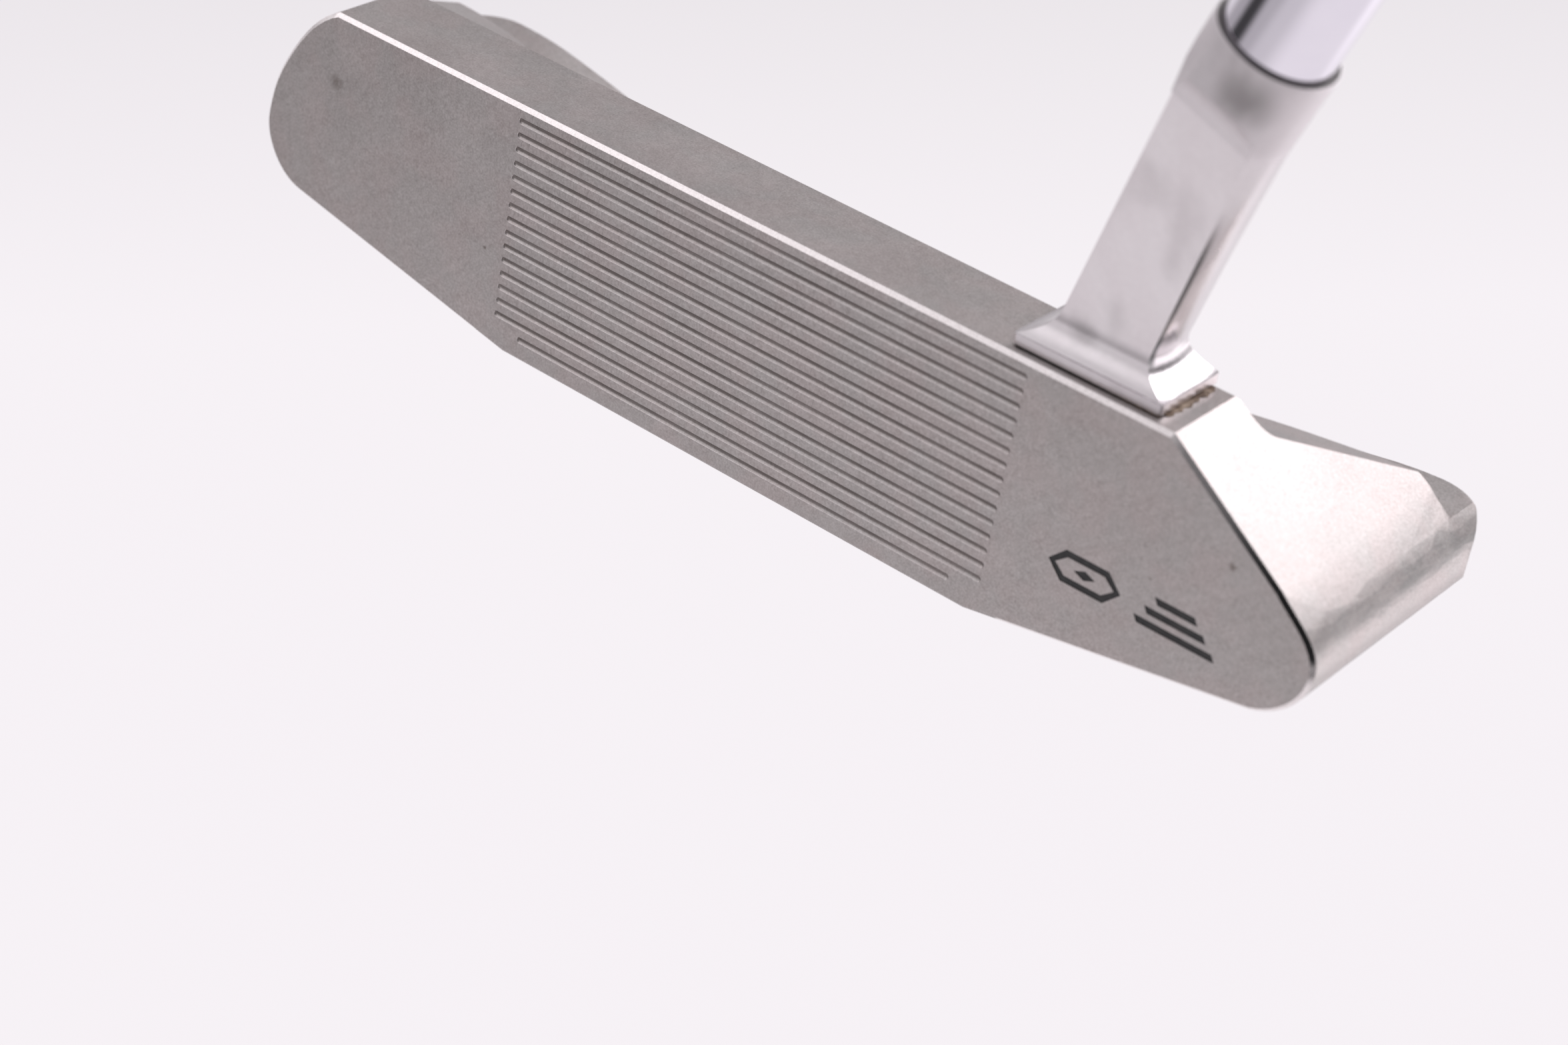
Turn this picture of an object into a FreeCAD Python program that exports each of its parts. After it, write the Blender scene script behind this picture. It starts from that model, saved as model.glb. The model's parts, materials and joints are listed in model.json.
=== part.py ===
import FreeCAD, Part
import os, math

# A golf putter: a milled blade head with a rear flange and two bumpers, a flared neck on the
# top line, two sole weights, a stepped shaft and a D-shaped grip.
# +X runs from toe to heel, +Y from the face to the rear flange, +Z up. The pieces are drawn
# with Y = 0 at the face plane's foot and moved on export, so that the origin is the middle of
# the flat sole and the sole is at z = 0. All lengths are in mm.

V = FreeCAD.Vector
UP = V(0, 0, 1)
os.makedirs("parts", exist_ok=True)

# ---------------------------------------------------------------- driving dimensions
LOFT = 3.0                 # face leans back, degrees
LIE = 70.0                 # shaft to ground, degrees
CLUB_LENGTH = 863.6        # sole to cap along the shaft
REACH = 70.0               # half length of bars that run past both ends of the head

# head
TOP_Z = 24.2               # height of the top line
TOP_REAR_Y = 10.8          # rear edge of the top line
BLADE_LOW_Z = -2.0         # blanks start here, below the sole
SOLE_FLAT_X = 27.0         # half width of the flat sole
SOLE_END_X = 54.6          # where the rising sole meets the end curves
SOLE_RISE = 10.0           # sole rises toward toe and heel, degrees
SOLE_FRONT_Y = 0.5
SOLE_REAR_Y = 21.1
SOLE_MID_Y = 0.5 * (SOLE_FRONT_Y + SOLE_REAR_Y)
DEPTH_Y = 30.55            # rear of the flange
TRAIL_Z = 2.7              # underside height at the trailing edge
LEDGE_TOE_Z = 14.35        # top of the flange at the toe end
LEDGE_HEEL_Z = 13.9        # top of the flange at the heel end
FLANGE_MID_Z = 7.6         # top of the flange in the middle
BUMPER_REAR_Y = 24.85
EDGE_BREAK = 0.36          # chamfer round the face
GROW = 0.22                # sole and ends stand this far outside the bevelled front

# neck's foot on the top line, its tenon and its screw
FOOT_X0, FOOT_X1 = 25.5, 40.2
FOOT_Y0, FOOT_Y1 = 2.45, 11.0
FOOT_X = 0.5 * (FOOT_X0 + FOOT_X1)
FOOT_Y = 0.5 * (FOOT_Y0 + FOOT_Y1)
SEAM = 0.22                # height of the seam under the foot
TENON_HALF_X, TENON_HALF_Y, TENON_LEN = 4.3, 2.4, 4.0
TENON_FIT = 0.05           # clearance round the tenon
POCKET_CORNER_R = 1.05
SCREW_R = 2.0
SCREW_HEAD_R = 3.6
SCREW_HEAD_H = 4.0
SCREW_SEAT_Z = 5.6         # the screw head bears here

# shaft and its joint; s is measured up the shaft from MOUTH
MOUTH = V(42.4, 3.0, 57.2) # centre of the collar's mouth
SHAFT_R = 4.70             # tip radius
BUTT_R = 7.35              # radius under the grip
WALL = 0.56
COLLAR_R = 5.24
COLLAR_TOP_S = 0.55
RECESS_R = 5.15            # shallow recess at the socket's mouth, filled by the seal
RECESS_S = 0.18            # floor of that recess
SOCKET_R = 4.77
SOCKET_DEPTH = 3.6
POST_R = 4.06              # post that the hollow shaft slips over
POST_UP = 28.0
GRIP_LEN = 267.0
CAP_T = 3.0
TAPE = 0.35

tan_loft = math.tan(math.radians(LOFT))
cos_loft = math.cos(math.radians(LOFT))
sin_loft = math.sin(math.radians(LOFT))
rise = math.tan(math.radians(SOLE_RISE))
cos_lie = math.cos(math.radians(LIE))
sin_lie = math.sin(math.radians(LIE))

SHAFT_UP = V(cos_lie, 0, sin_lie)
SHAFT_ACROSS = V(sin_lie, 0, -cos_lie)     # square to the shaft, toward the heel
REARWARD = V(0, 1, 0)
INTO_FACE = V(0, cos_loft, -sin_loft)

CAP_TOP_S = CLUB_LENGTH - MOUTH.z / sin_lie
GRIP_LOW_S = CAP_TOP_S - GRIP_LEN
GRIP_TOP_S = CAP_TOP_S - CAP_T
SHAFT_LOW_S = COLLAR_TOP_S - SOCKET_DEPTH + 0.05
SHAFT_TOP_S = GRIP_TOP_S - 0.6


# ---------------------------------------------------------------- helpers
def on_shaft(u, v, s):
    """Point in the shaft's frame: u across, v to the rear, s up the shaft from the mouth."""
    return MOUTH + SHAFT_ACROSS * u + REARWARD * v + SHAFT_UP * s


def on_face(x, up, deep=0.0):
    """Point on the face: up along the face, deep into the metal."""
    return V(x, up * sin_loft + deep * cos_loft, up * cos_loft - deep * sin_loft)


def prism(points, travel):
    wire = Part.makePolygon(list(points) + [points[0]])
    return Part.Face(wire).extrude(travel)


def spline(points, periodic=False):
    curve = Part.BSplineCurve()
    curve.interpolate(points, PeriodicFlag=periodic)
    return curve.toShape()


def line(start, end):
    return Part.makeLine(start, end)


def arc(start, middle, end):
    return Part.Arc(start, middle, end).toShape()


def cylinder(radius, base, axis, height):
    return Part.makeCylinder(radius, height, base, axis)


def tube(outer_r, inner_r, base, axis, height):
    return cylinder(outer_r, base, axis, height).cut(cylinder(inner_r, base, axis, height))


def shaft_cylinder(radius, s, height):
    return cylinder(radius, on_shaft(0, 0, s), SHAFT_UP, height)


def shaft_tube(outer_r, inner_r, s, height):
    return tube(outer_r, inner_r, on_shaft(0, 0, s), SHAFT_UP, height)


def rounded_box(half_x, half_y, z, height, radius):
    """Upright box over the middle of the neck's foot, with rounded vertical edges."""
    corner = V(FOOT_X - half_x, FOOT_Y - half_y, z)
    box = Part.makeBox(2 * half_x, 2 * half_y, height, corner)
    return box.makeFillet(radius, [e for e in box.Edges if e.BoundBox.ZLength > height * 0.9])


def tenon_pocket(z, height):
    return rounded_box(TENON_HALF_X + TENON_FIT, TENON_HALF_Y + TENON_FIT, z, height,
                       POCKET_CORNER_R)


def hex_points(centre, radius, side_a, side_b):
    angles = [math.radians(60 * k) for k in range(6)]
    return [centre + side_a * (radius * math.cos(a)) + side_b * (radius * math.sin(a))
            for a in angles]


def clean(shape):
    # merging coplanar faces can fail on fillets; the unmerged solid is then good enough
    try:
        shape = shape.removeSplitter()
    except Exception:
        pass
    return shape


def is_one_solid(shape):
    return shape.isValid() and len(shape.Solids) == 1


def lies_at_y(edge, y):
    box = edge.BoundBox
    return abs(box.YMin - y) < 0.02 and abs(box.YMax - y) < 0.02


def fillet_where(shape, wanted, radius):
    """Fillet all wanted edges at once or, if that fails, one by one, skipping the bad ones."""
    edges = [e for e in shape.Edges if wanted(e)]
    if not edges:
        return shape
    # guards against the kernel refusing the whole set
    try:
        filleted = shape.makeFillet(radius, edges)
        if is_one_solid(filleted):
            return filleted
    except Exception:
        pass
    good = shape
    for edge in edges:
        # guards against a single edge that is refused or already gone
        try:
            centre = edge.CenterOfMass
            same = [e for e in good.Edges if (e.CenterOfMass - centre).Length < 0.3]
            filleted = good.makeFillet(radius, same[:1])
            if is_one_solid(filleted):
                good = filleted
        except Exception:
            pass
    return good


# ---------------------------------------------------------------- outline of the head
# (x, z) down the toe end, from the top line to the rising sole
TOE_CURVE = [
    (-51.75, TOP_Z), (-53.45, 23.0), (-54.95, 21.45), (-56.5, 19.35), (-57.85, 17.0),
    (-58.9, 14.5), (-59.45, 12.0), (-59.55, 10.1), (-59.0, 8.3), (-57.9, 6.7),
    (-56.4, 5.5), (-SOLE_END_X, (SOLE_END_X - SOLE_FLAT_X) * rise)]
# (x, z) up the heel end, from the rising sole to the sloping shoulder
HEEL_CURVE = [
    (SOLE_END_X, (SOLE_END_X - SOLE_FLAT_X) * rise), (56.3, 5.62), (57.7, 6.8), (58.65, 8.3),
    (59.02, 9.9), (58.75, 11.5), (57.75, 13.0), (56.2, 14.45), (54.62, 15.85)]
# share of GROW applied at each point of the curves above
TOE_GROWTH = [0.0, 0.5, 0.9] + [1.0] * 9
HEEL_GROWTH = [1.0] * 6 + [0.8, 0.4, 0.0]
SHOULDER_SLOPE = 0.674     # fall of the heel shoulder per mm of x
SHOULDER_Z0 = 52.65        # height of the shoulder's line at x = 0


def offset_curve(points, inset):
    """Move an open (x, z) curve to the left of its travel; gives (point, tangent) pairs."""
    curve = Part.BSplineCurve()
    curve.interpolate([V(x, 0, z) for x, z in points])
    moved = []
    for x, z in points:
        tangent = curve.tangent(curve.parameter(V(x, 0, z)))[0]
        moved.append(((x - tangent.z * inset, z + tangent.x * inset), (tangent.x, tangent.z)))
    return moved


def offset_line(start, end, inset):
    """Move a line to the left of its travel; gives a point and a unit direction."""
    dx, dz = end[0] - start[0], end[1] - start[1]
    length = math.hypot(dx, dz)
    dx, dz = dx / length, dz / length
    return (start[0] - dz * inset, start[1] + dx * inset), (dx, dz)


def meet(line_a, line_b):
    """Intersection of two lines, each a point and a direction."""
    (ax, az), (adx, adz) = line_a
    (bx, bz), (bdx, bdz) = line_b
    run = (bdx * (bz - az) - bdz * (bx - ax)) / (bdx * adz - adx * bdz)
    return ax + adx * run, az + adz * run


def drop_onto(point, target):
    """Foot of the perpendicular from a point to a line."""
    (x, z), (dx, dz) = target
    run = (point[0] - x) * dx + (point[1] - z) * dz
    return x + dx * run, z + dz * run


def grown(points, shares):
    return [(x + (out_x - x) * share, z + (out_z - z) * share)
            for (x, z), ((out_x, out_z), _), share
            in zip(points, offset_curve(points, -GROW), shares)]


toe_end = grown(TOE_CURVE, TOE_GROWTH)
heel_end = grown(HEEL_CURVE, HEEL_GROWTH)


def outline_wire(inset, depth):
    """Closed outline, inset from the full one, each point at y = depth(z).

    It travels down the toe, along the sole, up the heel and back along the top."""
    flat_toe, flat_heel = (-SOLE_FLAT_X, -GROW), (SOLE_FLAT_X, -GROW)
    shoulder_top = ((SHOULDER_Z0 - TOP_Z) / SHOULDER_SLOPE, TOP_Z)
    toe_curve = offset_curve(toe_end, inset)
    heel_curve = offset_curve(heel_end, inset)
    toe_rise = offset_line(toe_end[-1], flat_toe, inset)
    flat = offset_line(flat_toe, flat_heel, inset)
    heel_rise = offset_line(flat_heel, heel_end[0], inset)
    shoulder = offset_line(heel_end[-1], shoulder_top, inset)
    top = offset_line(shoulder_top, toe_end[0], inset)

    toe = [point for point, _ in toe_curve]
    heel = [point for point, _ in heel_curve]
    if inset > 0:
        toe[0] = meet(toe_curve[0], top)
        # these joints are nearly tangent, where an intersection would be ill-placed
        toe[-1] = drop_onto(toe[-1], toe_rise)
        heel[0] = drop_onto(heel[0], heel_rise)
        heel[-1] = drop_onto(heel[-1], shoulder)

    def place(points):
        return [V(x, depth(z), z) for x, z in points]

    toe, heel = place(toe), place(heel)
    sole_toe, sole_heel, top_heel = place(
        [meet(toe_rise, flat), meet(flat, heel_rise), meet(shoulder, top)])
    return Part.Wire([
        spline(toe), line(toe[-1], sole_toe), line(sole_toe, sole_heel),
        line(sole_heel, heel[0]), spline(heel), line(heel[-1], top_heel),
        line(top_heel, toe[0])])


# ---------------------------------------------------------------- blanks of the head
FLANGE_FRONT_Y = 6.0       # the flange starts inside the blade
FLANGE_END_X = 62
# (x, z) of the flange's top from each end to the low middle
FLANGE_TOE = [
    (-FLANGE_END_X, LEDGE_TOE_Z), (-57.5, LEDGE_TOE_Z), (-53.2, 14.3), (-49.5, 14.0),
    (-45.5, 13.3), (-42, 12.6), (-38.5, 11.78), (-35, 10.85), (-31, 9.7), (-26, 8.5),
    (-21, 7.82), (-16, FLANGE_MID_Z)]
FLANGE_HEEL = [
    (FLANGE_END_X, LEDGE_HEEL_Z), (57.5, LEDGE_HEEL_Z), (53.2, 13.82), (49.5, 13.45),
    (45.5, 12.75), (42, 12.08), (38.5, 11.35), (35, 10.5), (31, 9.45), (26, 8.4),
    (21, 7.8), (16, FLANGE_MID_Z)]
# (distance from the middle, y) of each bumper's inner wall, front to rear
BUMPER_INNER = {
    1: [(37.6, TOP_REAR_Y - 2.0), (38.3, 11.2), (39.7, 13.6), (41.7, 16.0), (44.2, 18.4),
        (46.9, 20.5), (49.4, 22.3), (51.5, 23.75), (53.0, 24.6), (54.4, BUMPER_REAR_Y)],
    -1: [(37.6, TOP_REAR_Y - 2.0), (38.3, 11.2), (39.5, 13.8), (41.4, 16.6), (44.0, 19.2),
         (47.2, 21.2), (50.6, 22.7), (54.0, 23.9), (57.0, 24.6), (59.5, BUMPER_REAR_Y)]}
BUMPER_END_X = 62
BUMPER_LOW_Z = 4.0
BUMPER_BLANK_H = 26
# the bumper's top passes through (y, z) and falls by the slope per mm to the rear
BUMPER_TOP_Y, BUMPER_TOP_Z, BUMPER_SLOPE = 12.84, 21.25, 0.38
BACK_FILLET_R = 1.6


def make_blade():
    """Lofted face, flat top line, vertical rear wall."""
    return prism([V(-REACH, BLADE_LOW_Z * tan_loft, BLADE_LOW_Z),
                  V(-REACH, TOP_Z * tan_loft, TOP_Z),
                  V(-REACH, TOP_REAR_Y, TOP_Z),
                  V(-REACH, TOP_REAR_Y, BLADE_LOW_Z)], V(2 * REACH, 0, 0))


def make_flange():
    toe = [V(x, FLANGE_FRONT_Y, z) for x, z in FLANGE_TOE]
    heel = [V(x, FLANGE_FRONT_Y, z) for x, z in FLANGE_HEEL][::-1]
    heel_low = V(FLANGE_END_X, FLANGE_FRONT_Y, BLADE_LOW_Z)
    toe_low = V(-FLANGE_END_X, FLANGE_FRONT_Y, BLADE_LOW_Z)
    section = Part.Wire([
        spline(toe), line(toe[-1], heel[0]), spline(heel), line(heel[-1], heel_low),
        line(heel_low, toe_low), line(toe_low, toe[0])])
    return Part.Face(section).extrude(V(0, DEPTH_Y - FLANGE_FRONT_Y, 0))


def make_bumper(side):
    """Curved inner wall in plan, top sloping down to the rear; side is +1 at the heel."""
    inner = [V(side * x, y, BUMPER_LOW_Z) for x, y in BUMPER_INNER[side]]
    rear = V(side * BUMPER_END_X, BUMPER_REAR_Y, BUMPER_LOW_Z)
    front = V(side * BUMPER_END_X, inner[0].y, BUMPER_LOW_Z)
    plan = Part.Wire([spline(inner), line(inner[-1], rear), line(rear, front),
                      line(front, inner[0])])
    blank = Part.Face(plan).extrude(V(0, 0, BUMPER_BLANK_H))
    front_y, rear_y = 4.0, 34.0
    front_z = BUMPER_TOP_Z - BUMPER_SLOPE * (front_y - BUMPER_TOP_Y)
    rear_z = BUMPER_TOP_Z - BUMPER_SLOPE * (rear_y - BUMPER_TOP_Y)
    above = prism([V(-REACH, front_y, front_z), V(-REACH, rear_y, rear_z),
                   V(-REACH, rear_y, 60), V(-REACH, front_y, 60)], V(2 * REACH, 0, 0))
    return blank.cut(above)


def is_back_corner(edge):
    """Inside edges where the blade's rear wall meets the flange and the bumpers."""
    box = edge.BoundBox
    return (lies_at_y(edge, TOP_REAR_Y) and box.ZMax < 23.0 and box.ZMin > 3
            and box.XLength > 2.0)


# ---------------------------------------------------------------- shaping the head
# (side, x of the end, radius) of the rear corners in plan
REAR_CORNERS = [(1, 59.28, 6.0), (-1, 59.86, 5.2)]
LEDGE_BREAK_X = 57.2       # the heel ledge's corner is broken from here outward
LEDGE_BREAK_END_X = 60.0
LEDGE_BREAK_DROP = 1.7
REAR_EDGE_R = 0.5
TOP_REAR_CHAMFER = 0.3


def cut_sole(body):
    """Behind its flat the sole rises to the trailing edge."""
    slope = TRAIL_Z / (DEPTH_Y - SOLE_REAR_Y)
    past_y = DEPTH_Y + 2
    past_z = -GROW + slope * (past_y - SOLE_REAR_Y)

    def section(x):
        return [V(x, SOLE_REAR_Y, -GROW), V(x, past_y, past_z), V(x, past_y, -9),
                V(x, SOLE_REAR_Y, -9)]

    body = body.cut(prism(section(-REACH), V(2 * REACH, 0, 0)))
    for side in (-1, 1):
        body = body.cut(prism(section(side * SOLE_FLAT_X), V(side * 40, 0, 40 * rise)))
    return body


def rear_corner(side, end_x, radius):
    """Waste outside a rounded rear corner."""
    centre_x = side * (end_x - radius)
    centre_y = DEPTH_Y - radius
    size = radius + 8
    box_x = centre_x if side > 0 else centre_x - size
    block = Part.makeBox(size, size, 40, V(box_x, centre_y, -5))
    return block.cut(cylinder(radius, V(centre_x, centre_y, -6), UP, 42))


def bevel_face(body):
    """Replace the front slice of the head by a bevelled one."""
    front = prism([V(-REACH, -10 * tan_loft + EDGE_BREAK, -10),
                   V(-REACH, 40 * tan_loft + EDGE_BREAK, 40),
                   V(-REACH, -12, 40), V(-REACH, -12, -10)], V(2 * REACH, 0, 0))
    bevel = Part.makeLoft([outline_wire(EDGE_BREAK, lambda z: z * tan_loft),
                           outline_wire(0.0, lambda z: z * tan_loft + EDGE_BREAK)], True, True)
    return clean(body.cut(front).fuse(bevel))


def break_ledge_corner(body):
    y = BUMPER_REAR_Y
    waste = prism([V(LEDGE_BREAK_X, y, LEDGE_HEEL_Z + 0.001),
                   V(LEDGE_BREAK_END_X, y, LEDGE_HEEL_Z - LEDGE_BREAK_DROP),
                   V(LEDGE_BREAK_END_X, y, LEDGE_HEEL_Z + 3),
                   V(LEDGE_BREAK_X, y, LEDGE_HEEL_Z + 3)], V(0, 10, 0))
    return body.cut(waste)


def is_flange_rear(edge):
    return edge.BoundBox.YMin > DEPTH_Y - 0.05 and edge.BoundBox.ZMax < 15


def chamfer_top_rear(body):
    edges = [e for e in body.Edges
             if lies_at_y(e, TOP_REAR_Y) and e.BoundBox.ZMin > TOP_Z - 0.05]
    # guards against the kernel refusing the chamfer; the edge then stays sharp
    try:
        chamfered = body.makeChamfer(TOP_REAR_CHAMFER, edges)
        if is_one_solid(chamfered):
            body = chamfered
    except Exception:
        pass
    return body


# ---------------------------------------------------------------- face grooves
GROOVE_PITCH = 1.3907
GROOVE_TOP = 22.80         # first groove, measured up the face
GROOVE_N = 15              # full-length grooves
GROOVE_HALF = 28.3         # half length
LOW_GROOVE_HALF = 25.2     # one shorter groove below the others
GROOVE_W = 0.60
GROOVE_D = 0.17            # depth at the bottom of the round


def groove_tool(half_length, up):
    """Round bar with ball ends, its axis held a little out of the face."""
    radius = (GROOVE_W ** 2 / 4 + GROOVE_D ** 2) / (2 * GROOVE_D)
    ball_x = half_length - GROOVE_W / 2
    toe = on_face(-ball_x, up, GROOVE_D - radius)
    heel = on_face(ball_x, up, GROOVE_D - radius)
    diagonal = math.sqrt(0.5) * radius
    toe_tip, heel_tip = toe - V(radius, 0, 0), heel + V(radius, 0, 0)
    toe_deep, heel_deep = toe + INTO_FACE * radius, heel + INTO_FACE * radius
    half_section = Part.Wire([
        arc(toe_tip, toe + V(-diagonal, 0, 0) + INTO_FACE * diagonal, toe_deep),
        line(toe_deep, heel_deep),
        arc(heel_deep, heel + V(diagonal, 0, 0) + INTO_FACE * diagonal, heel_tip),
        line(heel_tip, toe_tip)])
    return Part.Face(half_section).revolve(toe, V(1, 0, 0), 360)


def cut_grooves(body):
    halves = [GROOVE_HALF] * GROOVE_N + [LOW_GROOVE_HALF]
    tools = [groove_tool(half, GROOVE_TOP - GROOVE_PITCH * k) for k, half in enumerate(halves)]
    return body.cut(Part.makeCompound(tools))


# ---------------------------------------------------------------- mark on the face
# The mark is a long hexagonal ring round a diamond, with three bars on its heel side.
MARK_DEPTH = 0.30
PAINT_LOW = 0.07           # the paint stands this far behind the face, along Y
RING_X0, RING_X1 = 34.05, 41.3
RING_UP0, RING_UP1 = 7.1, 10.1
RING_CORNER = 1.5          # run of the hexagon's slanting sides
RING_WALL = 0.62
RING_TIP_WALL = RING_WALL * 1.12           # wall at the pointed ends, along x
RING_CORNER_INSET = RING_WALL * 0.45       # inward shift of the inner hexagon's corners
# (x, up the face)
DIAMOND = [(36.6, 8.6), (37.68, 8.15), (38.76, 8.6), (37.68, 9.05)]
BARS = [[(43.2, 7.1), (50.8, 7.1), (50.4, 7.75), (42.8, 7.75)],
        [(43.95, 8.28), (49.7, 8.28), (49.3, 8.93), (43.55, 8.93)],
        [(44.7, 9.45), (48.6, 9.45), (48.2, 10.1), (44.3, 10.1)]]


def long_hexagon(x0, x1, up0, up1, corner):
    middle = (up0 + up1) / 2
    return [(x0 + corner, up0), (x1 - corner, up0), (x1, middle),
            (x1 - corner, up1), (x0 + corner, up1), (x0, middle)]


def mark_shapes(proud):
    """The mark's solids, from proud of the face down to the engraved depth."""
    def raised(outline):
        return prism([on_face(x, up, -proud) for x, up in outline],
                     INTO_FACE * (MARK_DEPTH + proud))

    outer = long_hexagon(RING_X0, RING_X1, RING_UP0, RING_UP1, RING_CORNER)
    inner = long_hexagon(RING_X0 + RING_TIP_WALL, RING_X1 - RING_TIP_WALL,
                         RING_UP0 + RING_WALL, RING_UP1 - RING_WALL,
                         RING_CORNER + RING_CORNER_INSET - RING_TIP_WALL)
    return [raised(outer).cut(raised(inner)), raised(DIAMOND)] + [raised(bar) for bar in BARS]


def make_mark_fill():
    front = prism([V(30, -2, 0), V(30, -2, 30), V(30, PAINT_LOW + 30 * tan_loft, 30),
                   V(30, PAINT_LOW, 0)], V(30, 0, 0))
    sunk = [shape.cut(front) for shape in mark_shapes(0.0)]
    return Part.makeCompound([solid for shape in sunk for solid in shape.Solids])


# ---------------------------------------------------------------- aiming line on the flange
SIGHT_W = 1.5
SIGHT_DEPTH = 0.45
SIGHT_PAINT_LOW = 0.06     # paint below the flange's top
SIGHT_Y0, SIGHT_Y1 = 14.0, DEPTH_Y - 1.2


def sight_line(height):
    """Round-ended bar standing on the floor of the aiming line."""
    r, z = SIGHT_W / 2, FLANGE_MID_Z - SIGHT_DEPTH
    toe_front, toe_rear = V(-r, SIGHT_Y0 + r, z), V(-r, SIGHT_Y1 - r, z)
    heel_front, heel_rear = V(r, SIGHT_Y0 + r, z), V(r, SIGHT_Y1 - r, z)
    plan = Part.Wire([line(toe_front, toe_rear), arc(toe_rear, V(0, SIGHT_Y1, z), heel_rear),
                      line(heel_rear, heel_front),
                      arc(heel_front, V(0, SIGHT_Y0, z), toe_front)])
    return Part.Face(plan).extrude(V(0, 0, height))


# ---------------------------------------------------------------- sole weights
WEIGHT_X, WEIGHT_Y = 41.5, 14.5
POCKET_R = 6.5
POCKET_DEPTH = 6.0
WEIGHT_R = POCKET_R - 0.05
WEIGHT_SUNK = 0.45         # the weight's outer face lies this far inside the sole


def weight_frame(side):
    """Centre on the rising sole and the direction into the metal."""
    angle = math.radians(SOLE_RISE) * side
    inward = V(-math.sin(angle), 0, math.cos(angle))
    centre = V(side * WEIGHT_X, WEIGHT_Y, (WEIGHT_X - SOLE_FLAT_X) * rise - GROW)
    return centre, inward


def cut_weight_pockets(body):
    for side in (-1, 1):
        centre, inward = weight_frame(side)
        body = body.cut(cylinder(POCKET_R, centre - inward, inward, 1.0 + POCKET_DEPTH))
    return body


def make_weight(side):
    """Plug with a ring groove, a shallow dish and a six-point socket."""
    centre, inward = weight_frame(side)
    weight = cylinder(WEIGHT_R, centre + inward * WEIGHT_SUNK, inward,
                      POCKET_DEPTH - WEIGHT_SUNK)
    weight = weight.cut(tube(POCKET_R + 1, POCKET_R - 0.85, centre + inward * 1.5, inward, 1.0))
    weight = weight.cut(cylinder(POCKET_R - 2.0, centre + inward * 0.4, inward, 0.35))
    socket = hex_points(centre + inward * 0.3, 2.3, REARWARD, inward.cross(REARWARD))
    weight = weight.cut(prism(socket, inward * 3.2))
    # guards against the kernel refusing the chamfer; the rim then stays sharp
    try:
        rim = [e for e in weight.Edges
               if abs(e.Length - 2 * math.pi * WEIGHT_R) < 0.02
               and abs((e.CenterOfMass - centre).dot(inward) - WEIGHT_SUNK) < 0.02]
        weight = weight.makeChamfer(0.3, rim)
    except Exception:
        pass
    return weight


def make_o_rings():
    rings = []
    for side in (-1, 1):
        centre, inward = weight_frame(side)
        rings.append(Part.makeTorus(POCKET_R - 0.42, 0.36, centre + inward * 2.0, inward))
    return Part.makeCompound(rings)


# ---------------------------------------------------------------- head
def cut_neck_seat(body):
    """Pocket for the tenon in the top line, and the screw's hole from the sole."""
    below = V(FOOT_X, FOOT_Y, -1)
    body = body.cut(tenon_pocket(TOP_Z - TENON_LEN - 0.1, TENON_LEN + 2))
    body = body.cut(cylinder(SCREW_R + 0.15, below, UP, TOP_Z + 1))
    return body.cut(cylinder(SCREW_HEAD_R + 0.2, below, UP, SCREW_SEAT_Z + 1))


def make_head():
    body = clean(make_blade().fuse([make_flange(), make_bumper(1), make_bumper(-1)]))
    body = fillet_where(body, is_back_corner, BACK_FILLET_R)
    outline = Part.Face(outline_wire(0.0, lambda z: -3.0)).extrude(V(0, 43, 0))
    body = cut_sole(body.common(outline))
    for side, end_x, radius in REAR_CORNERS:
        body = body.cut(rear_corner(side, end_x, radius))
    body = bevel_face(clean(body))
    body = break_ledge_corner(body)
    body = fillet_where(body, is_flange_rear, REAR_EDGE_R)
    body = chamfer_top_rear(body)
    body = cut_grooves(body)
    body = body.cut(Part.makeCompound(mark_shapes(0.5)))
    body = body.cut(sight_line(2))
    body = cut_weight_pockets(body)
    return clean(cut_neck_seat(body))


# ---------------------------------------------------------------- neck
SLAB_T = 0.92              # thickness of the foot's edge
SLAB_CORNER_R = 0.35
FLARE_TOP_Z = 29.0
FLARE_SECTIONS = 9
FLARE_OVERLAP = 0.06       # the flare starts this far inside the slab
FLARE_INSET = 0.05         # and this far inside its edges
# shank section at the top of the flare
SHANK_X0, SHANK_X1 = 28.85, 37.55
SHANK_Y0, SHANK_Y1 = 4.05, 9.75
# the shank section's shift per mm of height
LEAN_X, LEAN_FRONT, LEAN_REAR = 0.335, -0.19, -0.19 * 0.55
SHANK_TOP_S = -6.9
FLAT_V = 3.25              # half thickness between the front and rear flats
TOE_IN = 0.42              # the toe side of the shank is milled a little flatter
TOE_BULGE = 0.25
# outward direction of the dressed corners on the toe side, toward -u and toward v
DRESS_U, DRESS_V = 0.731, 0.682
DRESS_LOW_R = 4.93         # distance of the dressed side from the axis at the shank
DRESS_HIGH_R = COLLAR_R + 0.03
RUNOUT_R = 3.4             # cutter radius where the flats run out of the collar


def flare_section(z, x0, x1, y0, y1, heel_bulge, toe_bulge):
    """Four-sided section whose toe and heel sides bulge."""
    middle_y = 0.5 * (y0 + y1)
    toe_front, heel_front = V(x0, y0, z), V(x1, y0, z)
    heel_rear, toe_rear = V(x1, y1, z), V(x0, y1, z)
    return Part.Wire([line(toe_front, heel_front),
                      arc(heel_front, V(x1 + heel_bulge, middle_y, z), heel_rear),
                      line(heel_rear, toe_rear),
                      arc(toe_rear, V(x0 - toe_bulge, middle_y, z), toe_front)])


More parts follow.
